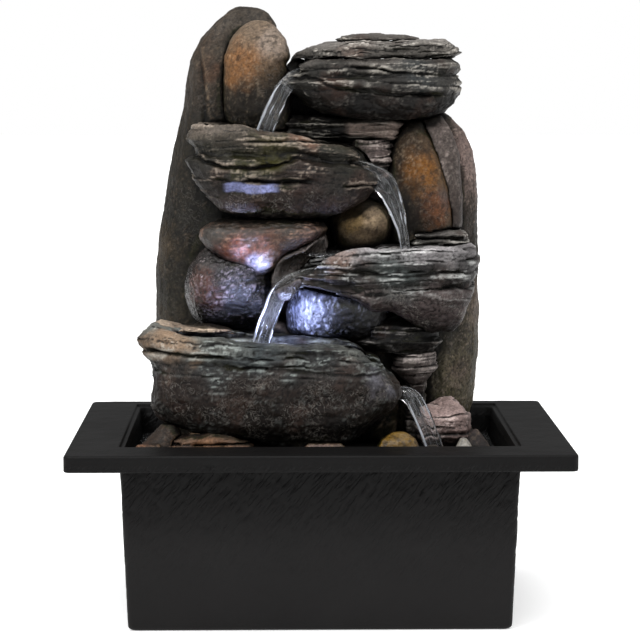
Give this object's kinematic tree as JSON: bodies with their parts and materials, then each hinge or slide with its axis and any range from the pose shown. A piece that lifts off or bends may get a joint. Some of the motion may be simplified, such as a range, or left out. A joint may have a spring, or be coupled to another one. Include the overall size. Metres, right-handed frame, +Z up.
{
  "type": "tabletop water fountain",
  "caption": "Tabletop fountain: dark rimmed basin with stone-look cascade bowls between two tall boulders, a lift-out rockwork, and a submersible pump and lamp inside.",
  "frame": {"origin": "middle of the overall box, on the surface that the basin stands on", "axes": "+Z up, -Y is the front that the water falls on, +X to the viewer's right; the cascade is the tallest extent along +Z"},
  "size_m": [0.21, 0.15, 0.262],
  "materials": {
    "basin": "satin black, embossed slate",
    "rock_base": "cast resin stone, satin",
    "left_column": "cast resin stone, satin",
    "crown_boulder": "cast resin stone, satin",
    "right_column": "cast resin stone, satin",
    "ridge_boulder": "cast resin stone, satin",
    "amber_boulder": "cast resin stone, satin",
    "core_block": "cast resin stone, satin",
    "hose_cover": "cast resin stone, satin",
    "tier_1_bowl": "cast resin stone, satin",
    "tier_1_cap": "cast resin stone, satin",
    "tier_1_crest": "cast resin stone, satin",
    "ledge_slates": "cast resin stone, satin",
    "stepped_stone": "cast resin stone, satin",
    "tier_2_bowl": "cast resin stone, satin",
    "yellow_stone": "cast resin stone, satin",
    "rust_stone": "cast resin stone, satin",
    "dark_boulder": "cast resin stone, satin",
    "spout_stone": "cast resin stone, satin",
    "tier_3_bowl": "cast resin stone, satin",
    "tier_3_back_slab": "cast resin stone, satin",
    "underlit_boulder": "cast resin stone, satin",
    "slate_stack": "cast resin stone, satin",
    "pier_stone": "cast resin stone, satin",
    "tier_4_bowl": "cast resin stone, satin",
    "tier_4_back_slab": "cast resin stone, satin",
    "front_flat_stone": "cast resin stone, satin",
    "corner_stones": "cast resin stone, satin",
    "bed_pebbles": "cast resin stone, satin",
    "side_rock": "cast resin stone, satin",
    "foot_stone": "cast resin stone, satin",
    "riser_hose": "clear soft tube",
    "hose_spout": "moulded",
    "lamp_housing": "moulded",
    "lamp_lens": "clear",
    "lamp_lead": "smooth",
    "lamp_plug": "moulded",
    "lead_clips": "moulded",
    "pump_case": "moulded",
    "chamber_plate": "moulded",
    "suction_feet": "soft",
    "lamp_socket": "moulded",
    "cord_gland": "moulded",
    "rotor_shaft": "ground",
    "rotor_magnet": "moulded ferrite",
    "impeller": "moulded",
    "strainer": "moulded",
    "flow_regulator": "moulded"
  },
  "bodies": {
    "basin_unit": {"basin": "basin", "pump_case": "pump_case", "chamber_plate": "chamber_plate", "suction_feet": "suction_feet", "cord_gland": "cord_gland", "rotor_shaft": "rotor_shaft", "lamp_socket": "lamp_socket"},
    "rockwork": {"rock_base": "rock_base", "left_column": "left_column", "crown_boulder": "crown_boulder", "right_column": "right_column", "ridge_boulder": "ridge_boulder", "amber_boulder": "amber_boulder", "core_block": "core_block", "hose_cover": "hose_cover", "tier_1_bowl": "tier_1_bowl", "tier_1_cap": "tier_1_cap", "tier_1_crest": "tier_1_crest", "ledge_slates": "ledge_slates", "stepped_stone": "stepped_stone", "tier_2_bowl": "tier_2_bowl", "yellow_stone": "yellow_stone", "rust_stone": "rust_stone", "dark_boulder": "dark_boulder", "spout_stone": "spout_stone", "tier_3_bowl": "tier_3_bowl", "tier_3_back_slab": "tier_3_back_slab", "underlit_boulder": "underlit_boulder", "slate_stack": "slate_stack", "pier_stone": "pier_stone", "tier_4_bowl": "tier_4_bowl", "tier_4_back_slab": "tier_4_back_slab", "front_flat_stone": "front_flat_stone", "corner_stones": "corner_stones", "bed_pebbles": "bed_pebbles", "side_rock": "side_rock", "foot_stone": "foot_stone", "riser_hose": "riser_hose", "hose_spout": "hose_spout", "lamp_housing": "lamp_housing", "lamp_lens": "lamp_lens", "lamp_lead": "lamp_lead", "lamp_plug": "lamp_plug", "lead_clips": "lead_clips"},
    "pump_cover": {"strainer": "strainer"},
    "regulator": {"flow_regulator": "flow_regulator"},
    "rotor": {"rotor_magnet": "rotor_magnet", "impeller": "impeller"}
  },
  "joints": [
    {"name": "rockwork_lift", "type": "slide", "parent": "basin_unit", "child": "rockwork", "axis": [0, 0, 1], "range_m": [0, 0.12]},
    {"name": "pump_cover_pull", "type": "slide", "parent": "basin_unit", "child": "pump_cover", "axis": [0, -1, 0], "range_m": [0, 0.02]},
    {"name": "flow_adjust", "type": "slide", "parent": "pump_cover", "child": "regulator", "axis": [-1, 0, 0], "range_m": [0, 0.008]},
    {"name": "impeller_spin", "type": "hinge", "parent": "basin_unit", "child": "rotor", "pos_m": [0.014, 0.03, 0.022], "axis": [0, 1, 0], "continuous": true}
  ]
}
